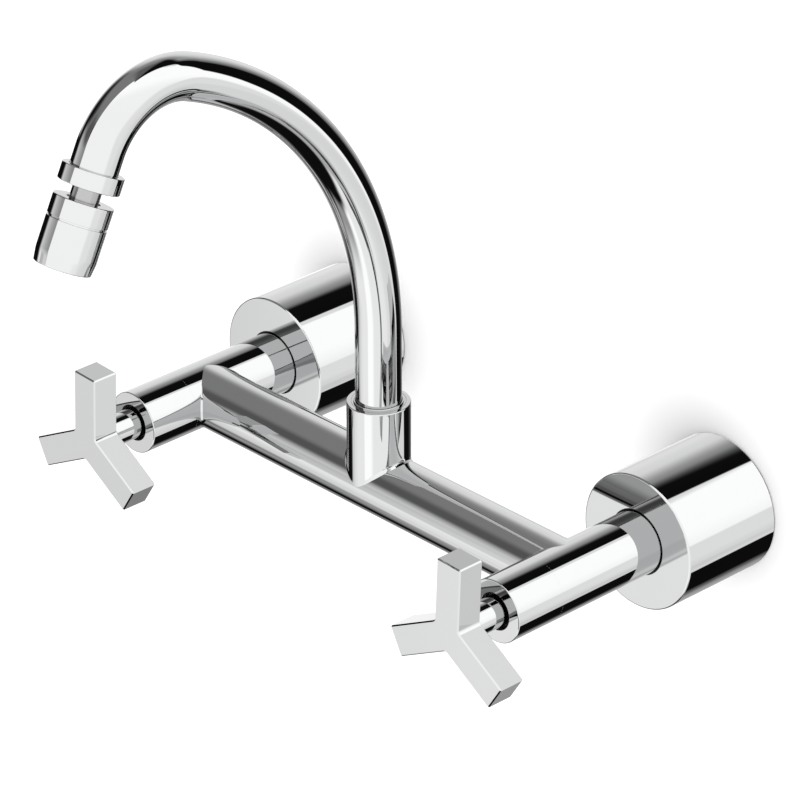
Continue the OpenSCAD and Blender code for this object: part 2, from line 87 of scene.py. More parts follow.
# %% Write down the sizes
inlet_x = {"left": -100.0, "right": 100.0}
bridge_out = 82.7
body_front, body_r = 119.5, 12.5
bridge_r, bridge_bore_r = 12.4, 10.4
sleeve_back = 97.2
spout_r, spout_bore_r = 8.8, 7.9
riser_h, tube_foot = 64.5, 28.0
rise_r, rise_angle = 138.7, radians(69.7)
crook_r, crook_angle = 32.2, radians(84.3)
socket_r, socket_h = 12.2, 34.5
print("the inlets are", inlet_x["right"] - inlet_x["left"], "mm apart")

# %% [markdown]
# ## Places
#
# Each piece is modelled standing on its own axis, as it would be turned on a lathe, and then moved to
# its place. There are three kinds of place: on a valve, where the piece's axis runs out of the wall; on
# the socket, where it stands upright; and on the nose of the spout, where it points down and outwards.
# Moving the mesh and not the object leaves every object at the origin.

# %% Work out the places
metres = Matrix.Scale(0.001, 4)


def on_valve(side):
    return Matrix.Translation((inlet_x[side], 0, 0)) @ Matrix.Rotation(pi / 2, 4, "X")


on_socket = Matrix.Translation((0, -bridge_out, 0))
rise_centre = Vector((0, -bridge_out - rise_r, riser_h))
crook_centre = rise_centre + (rise_r - crook_r) * Vector((0, cos(rise_angle), sin(rise_angle)))
nose_angle = rise_angle + crook_angle
crook_end = crook_centre + crook_r * Vector((0, cos(nose_angle), sin(nose_angle)))
flow = Vector((0, -sin(nose_angle), cos(nose_angle)))
across = Vector((1, 0, 0))
at_nose = (Matrix.Translation(crook_end)
           @ Matrix((across, flow.cross(across), flow)).transposed().to_4x4())
print("crook ends at", [round(v, 2) for v in crook_end])

# %% [markdown]
# ## Turning a piece
#
# Nearly everything here was cut on a lathe, so one helper does for most of it. It draws the outline as a
# face, rounds its corners with a bevel on its vertices, and spins the edge of the face round the axis.
# A stack of cylinders with bevelled edges would look the same, but the outline says in one line what the
# lathe tool follows. Corners of a polished piece are never quite sharp, and the thin bright line on a
# rounded corner is what makes chrome look solid.

# %% Make the lathe
SPIN_STEPS = 128
CORNER_STEPS = 4
SHARP = radians(35)


def turned(outline, steps=SPIN_STEPS):
    """A turned solid from its half outline: corners of (radius, height, rounding)."""
    bm = bmesh.new()
    corners = [bm.verts.new((r, 0, z)) for r, z, _ in outline]
    bm.faces.new(corners)
    for size in sorted({rounding for _, _, rounding in outline if rounding > 0}):
        bmesh.ops.bevel(bm, geom=[v for v, c in zip(corners, outline) if c[2] == size],
                        offset=size, affect="VERTICES", segments=CORNER_STEPS, profile=0.5,
                        material=-1)
    bmesh.ops.delete(bm, geom=bm.faces[:], context="FACES_ONLY")
    bmesh.ops.spin(bm, geom=bm.verts[:] + bm.edges[:], cent=(0, 0, 0), axis=(0, 0, 1),
                   angle=2 * pi, steps=steps, use_merge=True)
    bmesh.ops.remove_doubles(bm, verts=bm.verts[:], dist=1e-4)
    return bm


print("the lathe makes", SPIN_STEPS, "steps a turn")

# %% [markdown]
# ## Finishing a mesh
#
# Every piece ends the same way: its faces are turned outwards, edges that are meant to be sharp are
# marked, the mesh is moved to its place, the object is told which moving body it rides on, and the solids
# it replaces are hidden. Weighted normals let the big flat and round faces win over the small roundings,
# so that reflections run straight up to the edge.

# %% Turn a mesh into a piece
pieces = {}


def piece(name, bm, place, body, replaced):
    """Finishes the mesh as an object at the origin that rides on a body."""
    bmesh.ops.recalc_face_normals(bm, faces=bm.faces[:])
    if bm.calc_volume(signed=True) < 0:
        bmesh.ops.reverse_faces(bm, faces=bm.faces[:])
    for face in bm.faces:
        face.smooth = True
    for edge in bm.edges:
        edge.smooth = edge.calc_face_angle(0) < SHARP
    bm.transform(metres @ place)
    mesh = bpy.data.meshes.new(name)
    bm.to_mesh(mesh)
    bm.free()
    obj = bpy.data.objects.new(name, mesh)
    bpy.context.scene.collection.objects.link(obj)
    weighted = obj.modifiers.new("even_normals", "WEIGHTED_NORMAL")
    weighted.keep_sharp = True
    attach(obj, body)
    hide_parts(*replaced)
    pieces[name] = obj
    print(name, len(mesh.polygons), "faces")
    return obj


def cut(bm, cutter):
    """The mesh less the cutter, both as bmesh in the same place."""
    solids = []
    for source in (bm, cutter):
        bmesh.ops.recalc_face_normals(source, faces=source.faces[:])
        mesh = bpy.data.meshes.new("blank")
        source.to_mesh(mesh)
        source.free()
        solids.append(bpy.data.objects.new("blank", mesh))
        bpy.context.scene.collection.objects.link(solids[-1])
    boolean = solids[0].modifiers.new("cut", "BOOLEAN")
    boolean.operation = "DIFFERENCE"
    boolean.solver = "EXACT"
    boolean.object = solids[1]
    graph = bpy.context.evaluated_depsgraph_get()
    result = bmesh.new()
    result.from_object(solids[0], graph)
    for solid in solids:
        bpy.data.objects.remove(solid)
    return result


def drill(radius, start, end, place):
    """A round bar from start to end along its place's axis, to cut a hole with."""
    bm = bmesh.new()
    bmesh.ops.create_cone(bm, cap_ends=True, segments=48, radius1=radius, radius2=radius,
                          depth=end - start, matrix=place @ Matrix.Translation((0, 0, (start + end) / 2)))
    return bm


# %% [markdown]
# ## The wall flanges
#
# A flange hides the hole in the wall and the union nut. It is a deep drawn cup with a hole in its front,
# through which the valve tube passes with a shadow gap all round. The cup is one outline: outside wall,
# front, hole, and back along the inside. Its rim is eased at the wall, which draws a fine dark line there.

# %% Turn the flanges
flange_r, flange_l, flange_wall, flange_hole_r = 27.0, 46.0, 1.5, 13.0
for side in inlet_x:
    cup = turned([
        (flange_r, 0, 0.6), (flange_r, flange_l, 0.75),
        (flange_hole_r, flange_l, 0.25), (flange_hole_r, flange_l - flange_wall, 0),
        (flange_r - flange_wall, flange_l - flange_wall, 0), (flange_r - flange_wall, 0, 0.2)])
    piece(f"{side}_flange_cup", cup, on_valve(side), "mixer", [f"{side}_wall_flange"])

# %% [markdown]
# ## The valve tubes and their front sleeves
#
# The valve body is a straight tube. Its front end is covered by a sleeve of the same diameter, screwed
# over the spigot, so the only sign of it is a hair-fine joint. Two outlines that meet with a small
# rounding on each make that joint by themselves, where a painted line would stay flat in reflections.

# %% Turn the valve tubes and sleeves
tail_back, tail_front, tail_r, tail_bore_r = 24.0, 33.0, 10.2, 7.5
collar_front, tail_collar_r = 26.5, 12.9
seat_back, seat_front, seat_r = 68.0, 71.5, 5.8
inlet_start, inlet_chamber_r = 36.0, 9.9
chamber_end, chamber_r = 93.0, 9.4
spigot_front, spigot_r, spigot_bore_r = 104.0, 11.55, 10.5
sleeve_bore_r, mouth_r, mouth_l = 11.65, 7.3, 2.2
joint = 0.015
for side in inlet_x:
    tube = turned([
        (body_r, tail_front, 0.3), (body_r, sleeve_back, joint), (spigot_r, sleeve_back, 0),
        (spigot_r, spigot_front, 0.2), (spigot_bore_r, spigot_front, 0), (spigot_bore_r, chamber_end, 0),
        (chamber_r, chamber_end, 0), (chamber_r, seat_front, 0), (seat_r, seat_front, 0),
        (seat_r, seat_back, 0), (inlet_chamber_r, seat_back, 0), (inlet_chamber_r, inlet_start, 0),
        (tail_bore_r, inlet_start, 0), (tail_bore_r, tail_back, 0), (tail_collar_r, tail_back, 0.2),
        (tail_collar_r, collar_front, 0.2), (tail_r, collar_front, 0), (tail_r, tail_front, 0)])
    piece(f"{side}_valve_tube", tube, on_valve(side), "mixer", [f"{side}_valve_body"])
    sleeve = turned([
        (body_r, sleeve_back, joint), (body_r, body_front, 0.45),
        (mouth_r, body_front, 0.2), (mouth_r, body_front - mouth_l, 0),
        (sleeve_bore_r, body_front - mouth_l, 0), (sleeve_bore_r, sleeve_back, 0)])
    piece(f"{side}_front_sleeve", sleeve, on_valve(side), "mixer", [f"{side}_bonnet_sleeve"])

# %% [markdown]
# ## The handles
#
# Each handle is a Y of square bar. Behind it a short turned hub slides over the spindle and is held by a
# grub screw from below. The Y starts as a triangle whose sides are as wide as an arm: pulling each side
# straight out makes three arms that meet in clean corners, and lifting the flat Y makes it solid. Three
# joined boxes would need their overlaps cleaned up. The outer edges are broken by one narrow flat each,
# as a file would do before plating, and they show as thin bright or dark lines. The inner corners are
# slightly hollow, because the milling cutter that cuts them is round.

# %% Make the hubs
arm_w, arm_reach, arm_t, arm_edge, inner_corner = 12.0, 29.6, 11.3, 0.5, 1.0
handle_back, lean = 132.7, radians(2.4)
hub_r, hub_back, hub_spigot_r, hub_spigot_l = 6.0, 116.5, 5.0, 5.0
spline_bore_r, spline_bore_start, spline_bore_end = 4.12, 119.0, 131.4
hub_mouth_r = 4.5
screw_out, screw_r, screw_start, screw_end = 126.0, 2.0, 3.5, 7.0
for side, body in (("left", "left_control"), ("right", "right_control")):
    hub = turned([
        (hub_r, hub_back, 0.3), (hub_r, handle_back, 0.15), (hub_spigot_r, handle_back, 0),
        (hub_spigot_r, handle_back + hub_spigot_l, 0.2), (0, handle_back + hub_spigot_l, 0),
        (0, spline_bore_end, 0), (spline_bore_r, spline_bore_end, 0),
        (spline_bore_r, spline_bore_start, 0), (hub_mouth_r, spline_bore_start, 0),
        (hub_mouth_r, hub_back, 0)])
    across_hub = Matrix.Translation((0, 0, screw_out)) @ Matrix.Rotation(pi / 2, 4, "X")
    hub = cut(hub, drill(screw_r, screw_start, screw_end, across_hub))
    piece(f"{side}_knob_hub", hub, on_valve(side), body, [f"{side}_handle_hub"])

# %% Make the Y handles
for side, body in (("left", "left_control"), ("right", "right_control")):
    bm = bmesh.new()
    bmesh.ops.create_circle(bm, cap_ends=True, segments=3, radius=arm_w / sqrt(3),
                            matrix=Matrix.Rotation(pi - lean, 4, "Z"))
    for edge in bm.edges[:]:
        outwards = (edge.verts[0].co + edge.verts[1].co).normalized()
        pulled = bmesh.ops.extrude_edge_only(bm, edges=[edge])["geom"]
        ends = [v for v in pulled if isinstance(v, bmesh.types.BMVert)]
        bmesh.ops.translate(bm, verts=ends, vec=outwards * (arm_reach - arm_w / sqrt(12)))
    lifted = bmesh.ops.extrude_face_region(bm, geom=bm.faces[:], use_keep_orig=True)["geom"]
    bmesh.ops.translate(bm, verts=[v for v in lifted if isinstance(v, bmesh.types.BMVert)],
                        vec=(0, 0, arm_t))
    bmesh.ops.recalc_face_normals(bm, faces=bm.faces[:])
    if bm.calc_volume(signed=True) < 0:
        bmesh.ops.reverse_faces(bm, faces=bm.faces[:])
    concave = [e for e in bm.edges if e.calc_face_angle_signed(0) < -SHARP]
    bmesh.ops.bevel(bm, geom=concave, offset=inner_corner, affect="EDGES", segments=6, profile=0.5,
                    material=-1)
    convex = [e for e in bm.edges if e.calc_face_angle_signed(0) > SHARP]
    bmesh.ops.bevel(bm, geom=convex, offset=arm_edge, affect="EDGES", segments=1, profile=0.5,
                    material=-1)
    bm = cut(bm, drill(hub_spigot_r, -1, hub_spigot_l, Matrix.Identity(4)))
    piece(f"{side}_y_handle", bm, on_valve(side) @ Matrix.Translation((0, 0, handle_back)), body,
          [f"{side}_handle"])

# %% [markdown]
# ## The bridge
#
# The bridge is a tube that meets each valve tube squarely, cut at its ends to hug them. A boolean cut
# would leave ragged shading along that line, so the two end rings of the tube are moved onto the valve
# tubes' surface instead, point by point, along the bridge. The last ring also flares a little: that is the
# bead of solder that joins the tubes, and it draws a bright line up the joint.

# %% Make the bridge tube
fillet = 0.6
end_x, long_steps = 85, 17


def saddle_x(z):
    """Where the right valve tube's side stands at a height z, over the bridge's axis."""
    return inlet_x["right"] - sqrt(max(body_r ** 2 - z ** 2, 0))


bm = bmesh.new()
lying = Matrix.Translation((0, -bridge_out, 0)) @ Matrix.Rotation(pi / 2, 4, "Y")
for radius in (bridge_r, bridge_bore_r):
    bmesh.ops.create_circle(bm, segments=SPIN_STEPS, radius=radius,
                            matrix=Matrix.Translation((-end_x, 0, 0)) @ lying)
left_end = bm.edges[:]
ring = bm.verts[:] + bm.edges[:]
for reach, steps in ((fillet, 1), (2 * (end_x - fillet), long_steps), (fillet, 1)):
    ring = bmesh.ops.spin(bm, geom=ring, cent=(0, 0, 0), axis=(1, 0, 0), angle=0,
                          dvec=(reach / steps, 0, 0), steps=steps)["geom_last"]
right_end = [e for e in ring if isinstance(e, bmesh.types.BMEdge)]
for end in (left_end, right_end):
    bmesh.ops.bridge_loops(bm, edges=end)
for v in bm.verts:
    inset = end_x - abs(v.co.x)
    if inset > 2 * fillet:
        continue
    radius = sqrt((v.co.y + bridge_out) ** 2 + v.co.z ** 2)
    if inset < fillet / 2 and radius > bridge_bore_r + 0.1:
        flare = 1 + fillet * (1 - (v.co.z / bridge_r) ** 2) / bridge_r
        v.co.y, v.co.z = (v.co.y + bridge_out) * flare - bridge_out, v.co.z * flare
    v.co.x = copysign(saddle_x(v.co.z) - inset, v.co.x)
piece("bridge_pipe", bm, Matrix.Identity(4), "mixer", ["bridge_tube"])

# %% [markdown]
# ## The socket and its bearing ring
#
# The socket stands on the bridge and holds the spout. Its foot hugs the bridge as the bridge hugs the
# valve tubes, so the same trick serves: turn it with a flat foot, then drop the foot onto the tube. The
# foot's lowest rings are spread first, which gives the solder bead round it. A screw hole at the back is
# cut with a boolean, where its rough shading can't be seen from the front.

# %% Turn the socket and spread its foot
foot_fillet = 1.4
low_ring = 0.29 * foot_fillet
ring_seat_r, ring_seat_h = 10.3, 27.5
shank_bore_r, shank_bore_h, port_r = 9.3, 13.7, 7.2
cup = turned([
    (socket_r, 0, 0), (socket_r, low_ring, 0), (socket_r, foot_fillet, 0),
    (socket_r, socket_h, 0.4), (ring_seat_r, socket_h, 0.2), (ring_seat_r, ring_seat_h, 0),
    (shank_bore_r, ring_seat_h, 0), (shank_bore_r, shank_bore_h, 0), (port_r, shank_bore_h, 0),
    (port_r, 0, 0)])
for v in cup.verts:
    height = v.co.z
    if height > foot_fillet + 0.01:
        continue
    if v.co.xy.length > socket_r - 0.1:
        spread = foot_fillet * (1 - sqrt(1 - (1 - height / foot_fillet) ** 2))
        v.co.xy *= 1 + spread * (1 - (v.co.y / socket_r) ** 2) / socket_r
    v.co.z += sqrt(max(bridge_r ** 2 - v.co.y ** 2, 0))
set_screw_h, set_screw_r, set_screw_start, set_screw_end = 23.6, 2.0, 8.6, 13.5
screw_up = Matrix.Translation((0, 0, set_screw_h)) @ Matrix.Rotation(-pi / 2, 4, "X")
cup = cut(cup, drill(set_screw_r, set_screw_start, set_screw_end, screw_up))
piece("socket_cup", cup, on_socket, "mixer", ["spout_socket"])

# %% Turn the bearing ring
lip_r, lip_h, ring_bore_r = 9.6, 0.7, 8.95
ring = turned([
    (lip_r, socket_h, 0), (lip_r, socket_h + lip_h, 0.15), (ring_bore_r, socket_h + lip_h, 0.15),
    (ring_bore_r, ring_seat_h, 0), (ring_seat_r, ring_seat_h + 0.1, 0), (ring_seat_r, socket_h, 0)])
piece("bearing_ring", ring, on_socket, "mixer", ["spout_bush"])

# %% [markdown]
# ## The spout
#
# The gooseneck is one tube bent twice: a straight rise, a long curve forwards and a tight crook at the
# top, then a short straight nose. A curve object with a round bevel could do it, but its points only
# come near a true arc. Spinning the ring of the tube about each bend's own centre, as a tube bender
# does, gives exact arcs. The straight stretches are spins with no angle and a step forwards.

# %% Bend the spout
def straight(ring, step, steps):
    """Pushes the tube straight on, by the same step each time."""
    return bmesh.ops.spin(bm, geom=ring, cent=(0, 0, 0), axis=(0, 0, 1), angle=0, dvec=step,
                          steps=steps)["geom_last"]


def bend(ring, centre, angle, steps):
    """Bends the tube about a centre."""
    return bmesh.ops.spin(bm, geom=ring, cent=centre, axis=(1, 0, 0), angle=angle,
                          steps=steps)["geom_last"]


tube_end, tube_sides = 9.0, 96
riser_rings, rise_rings, crook_rings, nose_rings = 12, 96, 72, 4
bm = bmesh.new()
for radius in (spout_r, spout_bore_r):
    bmesh.ops.create_circle(bm, segments=tube_sides, radius=radius,
                            matrix=on_socket @ Matrix.Translation((0, 0, tube_foot)))
foot = bm.edges[:]
ring = straight(bm.verts[:] + bm.edges[:], (0, 0, (riser_h - tube_foot) / riser_rings), riser_rings)
ring = bend(ring, rise_centre, rise_angle, rise_rings)
ring = bend(ring, crook_centre, crook_angle, crook_rings)
tip = straight(ring, flow * tube_end / nose_rings, nose_rings)
tip_verts = [v for v in tip if isinstance(v, bmesh.types.BMVert)]
middle = sum((v.co for v in tip_verts), Vector()) / len(tip_verts)
print("tube ends", round((middle - crook_end - flow * tube_end).length, 4), "mm off the drawing")
bmesh.ops.bridge_loops(bm, edges=foot)
bmesh.ops.bridge_loops(bm, edges=[e for e in tip if isinstance(e, bmesh.types.BMEdge)])
piece("spout_pipe", bm, Matrix.Identity(4), "spout", ["spout_tube"])

# %% [markdown]
# ## The aerator
#
# At the nose a collar nut holds a hollow stem with a ball, and the head sits on that ball. The head is
# two parts with a square groove where they screw together, and its lower rim is drawn in a little. All of
# it is turned. The ball's curve is a run of points on a circle, because it is part of a sphere whose
# middle the head tilts about.

# %% Turn the collar
collar_r, collar_top, collar_foot = 11.35, 6.3, 12.6
collar_floor, collar_hole_r = 11.15, 5.5
thread_r, thread_top, tube_hole_r = 9.2, 8.9, 8.92
collar = turned([
    (collar_r, collar_top, 0.35), (collar_r, collar_foot, 0.35), (collar_hole_r, collar_foot, 0.2),
    (collar_hole_r, collar_floor, 0), (thread_r, collar_floor, 0), (thread_r, thread_top, 0),
    (tube_hole_r, thread_top, 0), (tube_hole_r, collar_top, 0.2)])
piece("collar_nut", collar, at_nose, "spout", ["aerator_collar"])

# %% Turn the stem with its ball
neck_r, neck_bore_r = 5.35, 3.0
rim_top, rim_foot, stem_rim_r = 10.0, 11.1, 8.9
ball_r, ball_z, ball_cut, ball_steps = 6.6, 21.5, 4.75, 24
ball_start, ball_end = -asin(sqrt(ball_r ** 2 - neck_r ** 2) / ball_r), asin(ball_cut / ball_r)
ball = [ball_start + (ball_end - ball_start) * k / ball_steps for k in range(ball_steps + 1)]
stem = turned(
    [(neck_bore_r, rim_top, 0), (stem_rim_r, rim_top, 0), (stem_rim_r, rim_foot, 0), (neck_r, rim_foot, 0)]
    + [(ball_r * cos(a), ball_z + ball_r * sin(a), 0) for a in ball]
    + [(neck_bore_r, ball_z + ball_cut, 0)])
piece("ball_stem", stem, at_nose, "swivel", ["swivel_stem"])

# %% Turn the head's upper part
head_r, rim_r, head_top, seam, head_foot = 11.05, 10.45, 17.6, 25.3, 42.4
groove, groove_half = 0.5, 0.35
cap_foot, cap_spigot_r, cap_bore_r, cap_bore_top, cap_mouth_r = 29.1, 9.6, 8.5, 24.7, 6.25
hollow_r, hollow_foot, throat_down, hollow_steps = 6.66, 23.4, 2.9, 6
throat = asin(throat_down / hollow_r)
hollow = [throat * k / hollow_steps for k in range(hollow_steps + 1)]
cap = turned(
    [(head_r, head_top, 0.4), (head_r, seam - groove_half, 0.12), (head_r - groove, seam - groove_half, 0),
     (head_r - groove, seam, 0), (cap_spigot_r, seam, 0), (cap_spigot_r, cap_foot, 0),
     (cap_bore_r, cap_foot, 0), (cap_bore_r, cap_bore_top, 0), (hollow_r, hollow_foot, 0)]
    + [(hollow_r * cos(a), ball_z - hollow_r * sin(a), 0) for a in hollow]
    + [(cap_mouth_r, head_top, 0.2)])
piece("head_cap", cap, at_nose, "head", ["aerator_cap"])

# %% Turn the head's lower part
rim_h, insert_r, insert_top = 4.7, 9.05, 30.9
gasket_top, gasket_hole_r, shell_bore_r = 29.5, 8.0, 9.7
shell = turned([
    (head_r - groove, seam, 0), (head_r - groove, seam + groove_half, 0),
    (head_r, seam + groove_half, 0.12), (head_r, head_foot - rim_h, 1.0),
    (rim_r, head_foot, 0.35), (insert_r, head_foot, 0.2), (insert_r, insert_top, 0),
    (gasket_hole_r, insert_top, 0), (gasket_hole_r, gasket_top, 0), (shell_bore_r, gasket_top, 0),
    (shell_bore_r, seam, 0)])
piece("head_shell", shell, at_nose, "head", ["aerator_shell"])

# %% [markdown]
# ## Finishes
#
# Each finish is a small set of nodes on the Principled shader. Chrome plate is a mirror, so what matters
# is how clean it is: its roughness drifts a little, as polished and often wiped plate does. Its colour is
# a grey of about a half, because chrome gives back only half of the light: parts of the tap that are seen
# in other parts come out darker for that. The ball's stem slides in its seat, so its plate is satin. The
# rest is inside the tap or behind it, and gets what the makers give it: machining marks on brass, a
# lapped grey-white on ceramic, fibres in the gasket.

# %% Write the recipe of a finish
def finish(name, colour, metallic=0.0, rough=(0.3, 0.4), spread=0.04, scale=400, bump=0.0,
           stretch=(1, 1, 1)):
    """A node material whose colour, roughness and height drift with one noise."""
    material = bpy.data.materials.new(name)
    material.use_nodes = True
    nodes, links = material.node_tree.nodes, material.node_tree.links
    shader = nodes["Principled BSDF"]
    shader.inputs["Metallic"].default_value = metallic
    coords = nodes.new("ShaderNodeTexCoord")
    mapping = nodes.new("ShaderNodeMapping")
    mapping.inputs["Scale"].default_value = stretch
    noise = nodes.new("ShaderNodeTexNoise")
    noise.inputs["Scale"].default_value = scale
    noise.inputs["Detail"].default_value = 4
    links.new(coords.outputs["Object"], mapping.inputs["Vector"])
    links.new(mapping.outputs["Vector"], noise.inputs["Vector"])
    ramp = nodes.new("ShaderNodeValToRGB")
    ramp.color_ramp.elements[0].position = 0.3
    ramp.color_ramp.elements[0].color = [c * (1 - spread) for c in colour] + [1]
    ramp.color_ramp.elements[1].position = 0.7
    ramp.color_ramp.elements[1].color = [min(1, c * (1 + spread)) for c in colour] + [1]
    links.new(noise.outputs["Fac"], ramp.inputs["Fac"])
    links.new(ramp.outputs["Color"], shader.inputs["Base Color"])
    gloss = nodes.new("ShaderNodeMapRange")
    gloss.inputs["To Min"].default_value, gloss.inputs["To Max"].default_value = rough
    links.new(noise.outputs["Fac"], gloss.inputs["Value"])
    links.new(gloss.outputs["Result"], shader.inputs["Roughness"])
    if bump:
        height = nodes.new("ShaderNodeBump")
        height.inputs["Strength"].default_value = 1
        height.inputs["Distance"].default_value = bump
        links.new(noise.outputs["Fac"], height.inputs["Height"])
        links.new(height.outputs["Normal"], shader.inputs["Normal"])
    return material


print("a finish is one noise that drifts colour, gloss and height together")

# %% Make the finishes
finishes = {
    "chrome": finish("polished_chrome", (0.470, 0.472, 0.475), 1, (0.01, 0.03), 0.004, 60),
    "brass": finish("machined_brass", (0.44, 0.31, 0.13), 1, (0.18, 0.34), 0.08, 900, 2e-5, (1, 8, 1)),
    "steel": finish("plain_steel", (0.33, 0.33, 0.34), 1, (0.25, 0.4), 0.06, 1500, 1e-5),
    "ceramic": finish("lapped_ceramic", (0.80, 0.80, 0.76), 0, (0.1, 0.16), 0.02, 2500, 4e-6),
    "fibre": finish("pressed_fibre", (0.20, 0.10, 0.06), 0, (0.7, 0.9), 0.35, 1800, 6e-5, (1, 1, 6)),
    "white_plastic": finish("moulded_acetal", (0.80, 0.80, 0.79), 0, (0.3, 0.42), 0.02, 1200, 1e-5),
    "rubber": finish("black_rubber", (0.014, 0.014, 0.015), 0, (0.45, 0.65), 0.2, 2000, 2e-5),
}
satin = finish("satin_plate", (0.305, 0.305, 0.31), 1, (0.10, 0.16), 0.02, 300)
print(len(finishes) + 1, "finishes")

# %% Give every piece and every solid its finish
for name, obj in pieces.items():
    obj.data.materials.append(satin if name == "ball_stem" else finishes["chrome"])

slot_of = {part["node"]: part["material_slot"] for part in frame["record"]["subparts"]}
for name, node in frame["nodes"].items():
    for material_slot in node.material_slots:
        material_slot.material = finishes[slot_of[name]]
print("on", len(pieces), "new pieces and", len(frame["nodes"]), "solids")

# %% [markdown]
# ## The light tent
#
# Polished chrome has no look of its own: it shows what stands round it. Product photographers shoot it
# in a white tent with a few black and grey cards, which draw the dark lines along the tubes. Here the
# tent is the world itself, painted by direction: `turn_at` goes round the tap from the front to the right
# and `rise_at` is the angle above the horizon. Each grey is given as the one that the chrome shows, so the
# cloth is as much brighter as the chrome swallows. Mirrors see that tent, plain surfaces get even white
# light that is a touch stronger from the right, and the camera sees plain white. Card objects would do
# too, but they would stand in the way of other camera positions.

# %% Start the tent's nodes
world = bpy.data.worlds.new("light_tent")
bpy.context.scene.world = world
world.use_nodes = True
nodes, links = world.node_tree.nodes, world.node_tree.links
nodes.clear()


def maths(operation, a, b=None):
    """A sum of two values, each a number or a node's output."""
    node = nodes.new("ShaderNodeMath")
    node.operation = operation
    for socket, value in zip(node.inputs, (a, b)):
        if isinstance(value, (int, float)):
            socket.default_value = value
        elif value is not None:
            links.new(value, socket)
    return node.outputs[0]


def ramp(value, start, end):
    """0 before start and 1 after end, smooth between them. End may come before start."""
    node = nodes.new("ShaderNodeMapRange")
    node.interpolation_type = "SMOOTHSTEP"
    low, high = min(start, end), max(start, end)
    for name, number in (("From Min", low), ("From Max", high),
                         ("To Min", float(start > end)), ("To Max", float(start <= end))):
        node.inputs[name].default_value = number
    links.new(value, node.inputs["Value"])
    return node.outputs["Result"]


print("nodes can be added and ramped")

# %% Mix the brushes
def area(*edges):
    """Where all of these ramps are 1."""
    out = edges[0]
    for edge in edges[1:]:
        out = maths("MULTIPLY", out, edge)
    return out


def paint(under, colour, where):
    """The tent so far, painted over with a grey where asked."""
    return maths("ADD", maths("MULTIPLY", under, maths("SUBTRACT", 1, where)),
                 maths("MULTIPLY", where, colour))


def band(value, *at):
    """1 from at[1] to at[2], falling to 0 at at[0] and at[3]."""
    return area(ramp(value, at[0], at[1]), ramp(value, at[3], at[2]))


def along(axis):
    """How far the direction points along an axis."""
    node = nodes.new("ShaderNodeVectorMath")
    node.operation = "DOT_PRODUCT"
    links.new(direction, node.inputs[0])
    node.inputs[1].default_value = axis
    return node.outputs["Value"]


plate_share = 0.47


def grey(value):
    """The light level that chrome shows as this 8-bit grey."""
    level = value / 255
    return (((level + 0.055) / 1.055) ** 2.4 if level > 0.04045 else level / 12.92) / plate_share


print("white cloth shines at", round(grey(255), 2))

# %% Find the direction of a ray
direction = nodes.new("ShaderNodeTexCoord").outputs["Generated"]
split = nodes.new("ShaderNodeSeparateXYZ")
links.new(direction, split.inputs[0])
x, y, z = split.outputs
turn_at = maths("MULTIPLY", maths("ARCTAN2", x, maths("MULTIPLY", y, -1)), degrees(1))
rise_at = maths("MULTIPLY", maths("ARCSINE", z), degrees(1))

past = maths("FLOORED_MODULO", turn_at, 360)
above = maths("MAXIMUM", rise_at, 0)
below = maths("MINIMUM", rise_at, 0)
print("directions in degrees take", len(nodes), "nodes")

# %% [markdown]
# ### The white cloth
#
# The cloth is white all round and a little brighter low in front. Below the horizon it is a light grey,
# where the table under the tap takes some of the light. These greys show in the flat faces of the
# handles, which each mirror one small spot of the tent: a spot of its own for each face is how their
# tones are set apart.

# %% Hang the cloth
# Brighter low in front
low_front = ramp(along((0.36, -0.79, -0.50)), -0.08, -0.40)
tent = maths("ADD", grey(239), maths("MULTIPLY", 0.22, low_front))
# Light grey below, but for a bright strip straight ahead
tent = paint(tent, grey(229), area(ramp(rise_at, -12, -22), ramp(turn_at, 140, 128)))
tent = paint(tent, grey(252), area(ramp(rise_at, -20, -26), band(turn_at, -8, -3, 16, 30)))
# Three greys low on the right
tent = paint(tent, grey(222), area(ramp(rise_at, 6, -4), band(turn_at, 88, 98, 119, 129)))
low_right = area(ramp(rise_at, -2.5, -5), ramp(rise_at, -58, -50))
tent = paint(tent, grey(218), area(low_right, band(turn_at, 112, 121, 136, 139)))
tent = paint(tent, grey(210), area(ramp(rise_at, -20, -27), ramp(turn_at, 80, 125)))
# The spots in the faces of the handles
tent = paint(tent, grey(197), area(band(rise_at, -39, -36, -31, -27), band(turn_at, 132, 135, 138, 142)))
tent = paint(tent, grey(221), area(band(rise_at, -40, -34, -24, -18), band(turn_at, -58, -54, -42, -30)))
tent = paint(tent, grey(207), area(band(rise_at, -40, -34, -24, -18), band(turn_at, -58, -54, -50, -45)))
tent = paint(tent, grey(188), area(band(rise_at, -20, -12, -2, 6), band(turn_at, -56, -50, -43, -32)))
# Darker steeply below
tent = paint(tent, grey(165), area(ramp(turn_at, 60, 80), ramp(rise_at, -48, -56)))
tent = paint(tent, grey(145), area(ramp(rise_at, -42, -62), ramp(turn_at, 12, -14)))
print("cloth painted,", len(nodes), "nodes so far")

# %% [markdown]
# ### The left side
#
# On the left the light falls off towards the wall behind, the floor and the ceiling. That shading runs
# along the upper left of every tube that stands out of the wall. One long soft ramp does it, where a
# photographer would let the lamp spill off the edge of the cloth.

